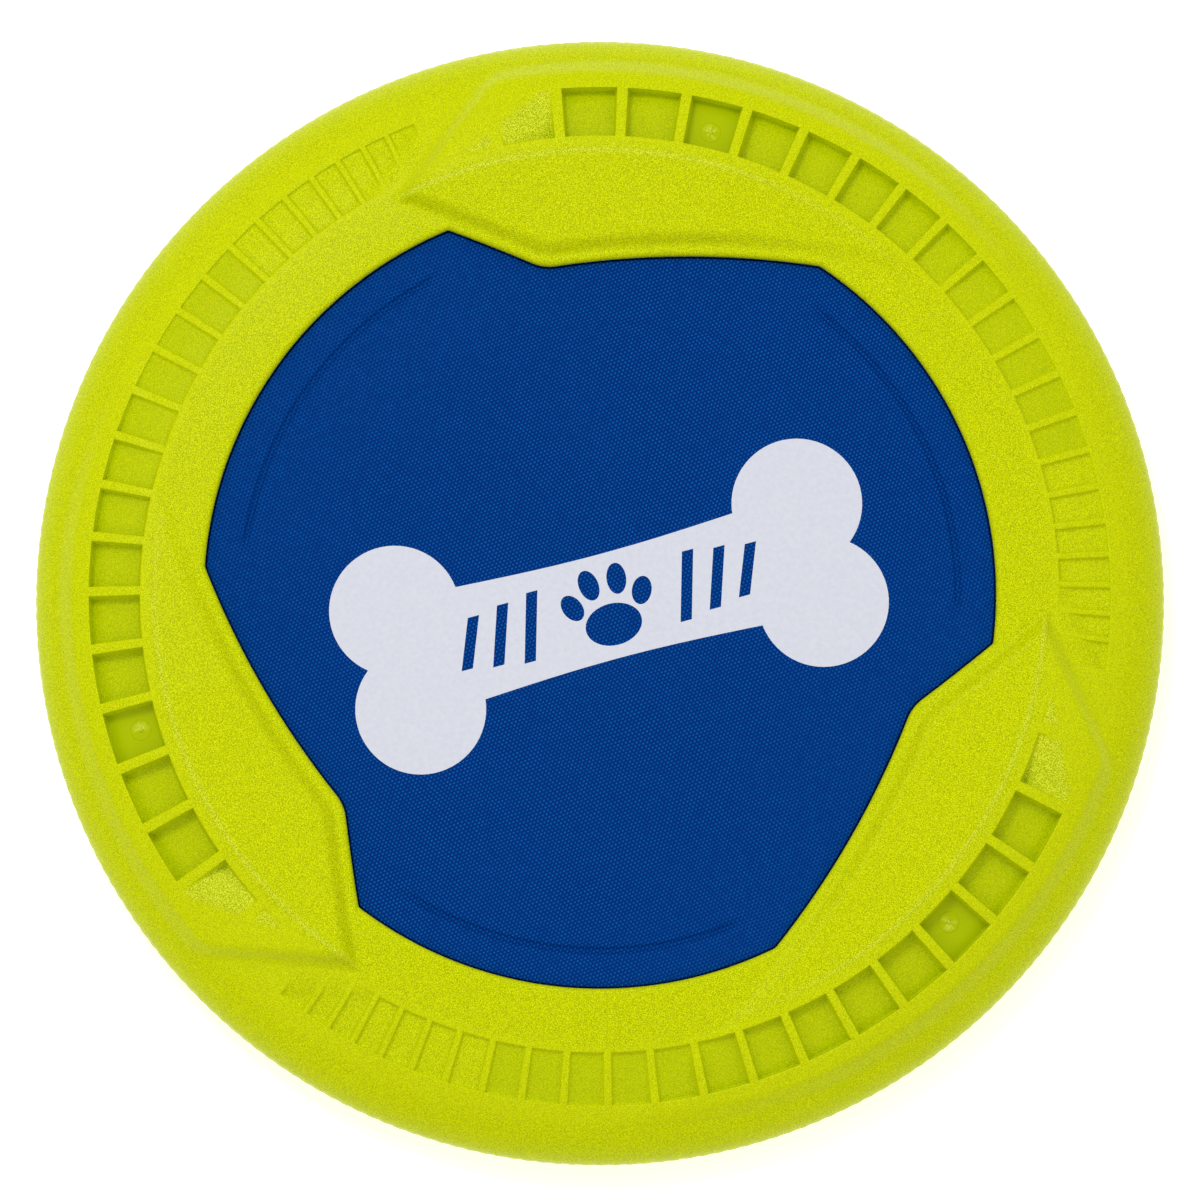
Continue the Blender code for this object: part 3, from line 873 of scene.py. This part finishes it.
def nylon_material():
    """Plain-woven blue nylon: light thread crowns over dark gaps."""
    n = Nodes(bpy.data.materials.new("blue_nylon_look"))
    n.set(Roughness=0.62, Specular_IOR_Level=0.5, IOR=1.08)
    weave = weave_height(n)
    uneven = n.spread(n.noise(1.6, 2.0, 0.6), 0.3, 0.7, 0.55, 1.25)
    crown = n.math("MULTIPLY", n.spread(weave, 0.0, 2.7), uneven)
    colour = n.blend(crown, (0.0003, 0.0270, 0.1850), (0.0040, 0.1310, 0.4700))
    cloud = n.spread(n.noise(22.0, 2.0), 0.3, 0.7)
    colour = n.blend(n.math("MULTIPLY", cloud, 0.12), colour, (0.0012, 0.0500, 0.2600))
    n.set(Base_Color=colour)
    n.set(Normal=n.bump(weave, 0.35, 0.03))
    return n.material


def foam_material():
    """Closed-cell foam, cut through its cells."""
    n = Nodes(bpy.data.materials.new("grey_foam_look"))
    n.set(Roughness=0.9, Specular_IOR_Level=0.2, IOR=1.5)
    cells = n.node("TexVoronoi", "Distance", {"Vector": n.spots(), "Scale": 1700.0})
    share = n.spread(cells, 0.1, 0.7)
    n.set(Base_Color=n.blend(share, (0.16, 0.17, 0.18), (0.09, 0.095, 0.10)))
    n.set(Normal=n.bump(cells, 0.5, 0.12))
    return n.material


def film_material():
    """White heat-transfer film: smooth, with a trace of the cloth under it."""
    n = Nodes(bpy.data.materials.new("white_film_look"))
    n.set(Roughness=0.45, Specular_IOR_Level=0.25, IOR=1.5)
    mottle = n.spread(n.noise(1.1, 3.0, 0.6), 0.3, 0.7)
    colour = n.blend(mottle, (0.690, 0.710, 0.800), (0.745, 0.760, 0.840))
    n.set(Base_Color=colour)
    n.set(Normal=n.bump(weave_height(n), 0.12, 0.012))
    return n.material


# Padded centre -------------------------------------------------------------------------------


def groove_share(points):
    """1 along the bottom of a pressed groove and 0 away from it."""
    bearing, radius = polar(points)
    turned = np.mod(bearing - GROOVE_BEARINGS[0], SECTOR_TURN)
    length = GROOVE_BEARINGS[1] - GROOVE_BEARINGS[0]
    ends = np.clip(np.minimum(turned, length - turned) / 4.0, 0, 1)
    across = np.exp(-(((radius - GROOVE_RADIUS) / GROOVE_WIDTH) ** 2))
    return across * ends * ends * (3 - 2 * ends)


def tucked_share(points):
    """1 where the ring presses on the cover, falling to 0 just inside the window."""
    bearing, radius = polar(points)
    past = past_window(place(bearing - home_turn(bearing), radius))
    return np.clip(1 + past / TUCK_WIDTH, 0, 1)


def face_plan():
    """A flat disc with peg holes, and rows of points where the cloth is pressed."""
    plan = Plan()
    rim = np.arange(0, 360, 1.5)
    plan.line(place(rim, np.full_like(rim, CENTRE_RADIUS)), closed=True)
    holes = [place(float(b), PEG_RING) for b in (np.arange(PEG_COUNT) + 0.5) * 360 / PEG_COUNT]
    for hole in holes:
        plan.hole(circle(hole, HOLE_RADIUS, 12))
    edge_bearings = window_bearings()
    for turn in (SECTOR_TURN * i for i in range(SECTORS)):
        bearings = spaced(GROOVE_BEARINGS[0] - 2, GROOVE_BEARINGS[1] + 2, 0.9) + turn
        for offset in (-2.4, -1.6, -0.9, -0.3, 0.3, 0.9, 1.6, 2.4):
            plan.line(place(bearings, np.full_like(bearings, GROOVE_RADIUS + offset)))
        for past in (-TUCK_WIDTH - 0.6, -TUCK_WIDTH, -TUCK_WIDTH / 2, 0.0):
            bearing, radius = polar(level_curve(past_window, past, edge_bearings))
            plan.line(place(bearing + turn, radius))

    def keep(points):
        return polar(points)[1] < CENTRE_RADIUS - 1.0

    plan.fill(1.9, keep, 0.9)
    return plan.triangles()


def puffed(points, faces):
    """Heights of a taut sheet, held by the ring and along the grooves, that the pad pushes up."""
    press = groove_share(points) * GROOVE_DEPTH + tucked_share(points) * TUCK_DEPTH
    mesh = bpy.data.meshes.new("sheet_to_puff")
    mesh.from_pydata((upright(points, 0.0) * MM).tolist(), [], faces.tolist())
    sheet = bpy.data.objects.new("sheet_to_puff", mesh)
    bpy.context.scene.collection.objects.link(sheet)
    held = sheet.vertex_groups.new(name="held")
    fixed = np.flatnonzero((tucked_share(points) > 0.3) | (groove_share(points) > 0.6))
    held.add(fixed.tolist(), 1.0, "REPLACE")
    cloth = sheet.modifiers.new("cloth", "CLOTH")
    cloth.settings.quality = 6
    cloth.settings.mass = 0.15
    cloth.settings.tension_stiffness = 15
    cloth.settings.compression_stiffness = 15
    cloth.settings.shear_stiffness = 8
    cloth.settings.bending_stiffness = 1.5
    cloth.settings.vertex_group_mass = "held"
    cloth.settings.use_pressure = True
    cloth.settings.uniform_pressure_force = 2.0
    cloth.settings.effector_weights.gravity = 0.0
    cloth.collision_settings.use_collision = False
    scene = bpy.context.scene
    for step in range(1, CLOTH_STEPS + 1):
        scene.frame_set(step)
    graph = bpy.context.evaluated_depsgraph_get()
    settled = sheet.evaluated_get(graph).to_mesh()
    found = np.empty(len(settled.vertices) * 3)
    settled.vertices.foreach_get("co", found)
    rise = found.reshape(-1, 3)[:, 2] / MM
    scene.frame_set(1)
    bpy.data.objects.remove(sheet, do_unlink=True)
    bpy.data.meshes.remove(mesh)
    peak = max(float(np.percentile(rise, 99.5)), 1e-6)
    rise = np.clip(rise * PAD_RISE / peak, -0.1, PAD_RISE)
    return rise - press


def open_edges(faces):
    """The border edges of a patch, in the direction its faces run."""
    ends = np.concatenate([faces[:, [0, 1]], faces[:, [1, 2]], faces[:, [2, 0]]])
    seen = {tuple(e) for e in ends.tolist()}
    return [(a, b) for a, b in ends.tolist() if (b, a) not in seen]


def add_slab(name, plan, low, high, material):
    """A closed piece between two heights given at every point of a plan."""
    points, faces = plan
    count = len(points)
    shape = np.concatenate([np.column_stack([points, high]), np.column_stack([points, low])])
    sides = [(count + a, count + b, b, a) for a, b in open_edges(faces)]
    every = faces.tolist() + (faces[:, ::-1] + count).tolist() + sides
    return add_piece(name, shape, every, material)


# Print ---------------------------------------------------------------------------------------

GRAPHIC_TURN = 15.0
GRAPHIC_CENTRE = (2.0, -3.0)
BONE_HALF_LENGTH = 46.5
BONE_KNOB_RADIUS = 14.6
BONE_KNOB_OFFSET = 11.4
BONE_SHAFT_HALF = 13.0
BONE_WAIST = 1.2


def arc(centre, radius, start, end, count):
    turns = np.radians(np.linspace(start, end, count))
    return [(centre[0] + radius * math.cos(t), centre[1] + radius * math.sin(t)) for t in turns]


def bone_outline():
    """A bone along X: two knobs at each end, joined by a slightly waisted shaft."""
    notch = math.degrees(math.asin(BONE_KNOB_OFFSET / BONE_KNOB_RADIUS))
    neck = math.degrees(math.asin((BONE_SHAFT_HALF - BONE_KNOB_OFFSET) / BONE_KNOB_RADIUS))
    knob = (BONE_HALF_LENGTH, BONE_KNOB_OFFSET)
    quarter = arc(knob, BONE_KNOB_RADIUS, -notch, 180 - neck, 40)
    shaft_end = quarter[-1][0]
    shaft = []
    for x in np.linspace(shaft_end, -shaft_end, 25)[1:-1]:
        shaft.append((x, BONE_SHAFT_HALF - BONE_WAIST * math.cos(x / shaft_end * math.pi / 2)))
    top = quarter + shaft + [(-x, y) for x, y in reversed(quarter)]
    return top + [(-x, -y) for x, y in top[1:-1]]


def oval(centre, half_width, half_height, turn, count=40):
    lean = math.radians(turn)
    found = []
    for i in range(count):
        t = math.tau * i / count
        x, y = half_width * math.cos(t), half_height * math.sin(t)
        found.append(
            (
                centre[0] + x * math.cos(lean) - y * math.sin(lean),
                centre[1] + x * math.sin(lean) + y * math.cos(lean),
            )
        )
    return found


def cut_outs():
    """A paw in the middle of the bone and three slots on each side of it."""
    shapes = [oval((0.0, -4.2), 6.4, 4.7, 0.0)]
    for side in (-1, 1):
        shapes.append(oval((side * 8.0, 1.6), 2.2, 3.2, -side * 24))
        shapes.append(oval((side * 3.2, 5.6), 2.2, 3.5, -side * 8))
        for slot in range(3):
            x, half = side * (18.0 + 7.0 * slot), 7.6 - slot
            corners = [(-1.3 - 2.2, -half), (1.3 - 2.2, -half), (1.3 + 2.2, half), (-1.3 + 2.2, half)]
            shapes.append([(x + dx, y) for dx, y in corners])
    return shapes


def on_disc(outline):
    """An outline of the graphic, turned and moved to its place on the disc."""
    turn = math.radians(GRAPHIC_TURN)
    c, s = math.cos(turn), math.sin(turn)
    return np.array(
        [(GRAPHIC_CENTRE[0] + x * c - y * s, GRAPHIC_CENTRE[1] + x * s + y * c) for x, y in outline]
    )


def inside_outline(points, outline):
    """Whether each point is inside a closed outline."""
    inside = np.zeros(len(points), bool)
    for (x0, y0), (x1, y1) in zip(outline, np.roll(outline, -1, axis=0)):
        crosses = (y0 > points[:, 1]) != (y1 > points[:, 1])
        if y0 != y1:
            inside ^= crosses & (points[:, 0] < (x1 - x0) * (points[:, 1] - y0) / (y1 - y0) + x0)
    return inside


def film_plan():
    """The plan of the film: a bone with its cut-outs."""
    bone = on_disc(bone_outline())
    plan = Plan()
    plan.line(bone, closed=True)
    plan.outline = bone
    for shape in cut_outs():
        plan.hole(on_disc(shape))

    def keep(points):
        return inside_outline(points, bone)

    plan.fill(2.0, keep, 0.8)
    return plan.triangles()


def heights_at(points, plan, heights):
    """Heights of a triangulated surface under the given points, from its four nearest points."""
    tree = KDTree(len(plan[0]))
    for i, p in enumerate(plan[0]):
        tree.insert((*p, 0.0), i)
    tree.balance()
    found = []
    for p in points:
        near = tree.find_n((*p, 0.0), 4)
        weights = [1 / (distance + 0.05) ** 2 for _, _, distance in near]
        total = sum(w * heights[index] for w, (_, index, _) in zip(weights, near))
        found.append(total / sum(weights))
    return np.array(found)


# Stage ---------------------------------------------------------------------------------------


def add_stage():
    """A pale floor that glows a little near the disc, so that it shows as plain white there."""
    n = Nodes(bpy.data.materials.new("studio_floor"))
    n.set(Roughness=0.9, Specular_IOR_Level=0.1)
    near = n.spread(n.node("VectorMath", "Value", {0: n.spots()}, operation="LENGTH"), 0.45, 0.20)
    n.set(Emission_Color=(1, 1, 1, 1), Emission_Strength=n.math("MULTIPLY", near, 0.45))
    tone = n.spread(n.noise(300.0, 2.0), 0.3, 0.7)
    pale = n.blend(tone, (0.93, 0.93, 0.93), (0.95, 0.95, 0.95))
    n.set(Base_Color=n.blend(near, (0.40, 0.40, 0.40), pale))
    mesh = bpy.data.meshes.new("floor")
    half = 4.0
    low = -0.0002
    corners = [(-half, -half, low), (half, -half, low), (half, half, low), (-half, half, low)]
    mesh.from_pydata(corners, [], [(0, 1, 2, 3)])
    mesh.materials.append(n.material)
    floor = bpy.data.objects.new("floor", mesh)
    bpy.context.scene.collection.objects.link(floor)


def add_light(name, place_at, size, power, aim=(0.0, 0.0, 0.02)):
    """A square lamp that faces the disc."""
    light = bpy.data.lights.new(name, "AREA")
    light.shape = "SQUARE"
    light.size = size
    light.energy = power
    lamp = bpy.data.objects.new(name, light)
    lamp.location = place_at
    lamp.rotation_euler = (Vector(aim) - Vector(place_at)).to_track_quat("-Z", "Y").to_euler()
    bpy.context.scene.collection.objects.link(lamp)


def add_lights():
    """A broad bright band between the horizon and a dim ceiling, and one lamp at the upper left."""
    world = bpy.data.worlds.new("studio")
    bpy.context.scene.world = world
    n = Nodes(world, "Background")
    upward = n.node("SeparateXYZ", "Z", {"Vector": n.node("TexCoord", "Generated")})
    stops = ((0.0, 0.30), (0.40, 0.45), (0.6, 0.95), (0.92, 1.0), (0.97, 0.30), (1.0, 0.25))
    n.set(Color=n.ramp(upward, stops), Strength=1.0)
    add_light("key", (-0.72, 1.25, 2.63), 0.7, 21.0)
    view = bpy.context.scene.view_settings
    view.view_transform = "Standard"
    view.look = "None"


CAMERA_TILT = 5.4
CAMERA_DISTANCE = 2.1
CAMERA_AIM = (0.0, -0.00176, 0.030)
CAMERA_ANGLE = 7.29


def add_camera():
    """A camera almost straight above the disc, tilted to look a little towards +Y."""
    camera = bpy.data.cameras.new("camera")
    camera.sensor_fit = "HORIZONTAL"
    camera.angle = math.radians(CAMERA_ANGLE)
    camera.clip_start = 0.01
    body = bpy.data.objects.new("camera", camera)
    tilt = math.radians(CAMERA_TILT)
    back = Vector((0, -math.sin(tilt), math.cos(tilt)))
    body.location = Vector(CAMERA_AIM) + back * CAMERA_DISTANCE
    body.rotation_euler = (tilt, 0, 0)
    bpy.context.scene.collection.objects.link(body)
    bpy.context.scene.camera = body


# The object ----------------------------------------------------------------------------------


def main():
    add_camera()
    add_lights()
    add_stage()

    points, faces, kinds = ring_shell().turned(SECTORS)
    ring = add_piece("moulded_ring", points, faces, rubber_material())
    bearing, radius = polar(points[:, :2])
    looks = surface_looks(place(bearing - home_turn(bearing), radius))
    on_top = points[:, 2] > dome(radius) - WALL_LEAST
    for name, values in looks.items():
        attribute = ring.data.attributes.new(name, "FLOAT", "POINT")
        attribute.data.foreach_set("value", np.where(on_top, values, PLAIN_LOOK[name]))
    shade_top(ring.data, kinds)
    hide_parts("rim_ring")
    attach(ring, "root")

    nylon = nylon_material()
    plan = face_plan()
    rise = puffed(*plan)
    top = add_slab("nylon_cover_top", plan, TOP_SHEET[0] + rise, TOP_SHEET[1] + rise, nylon)
    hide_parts("nylon_face_top")
    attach(top, "root")
    bottom = add_slab("nylon_cover_bottom", plan, BOTTOM_SHEET[0] - rise, BOTTOM_SHEET[1] - rise, nylon)
    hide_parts("nylon_face_bottom")
    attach(bottom, "root")
    foam = add_slab("foam_pad", plan, PAD[0] - rise, PAD[1] + rise, foam_material())
    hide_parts("foam_core")
    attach(foam, "root")

    print_plan = film_plan()
    base = heights_at(print_plan[0], plan, TOP_SHEET[1] + rise)
    film = add_slab("film_graphic", print_plan, base + FILM[0], base + FILM[1], film_material())
    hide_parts("graphic_transfer")
    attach(film, "root")


main()
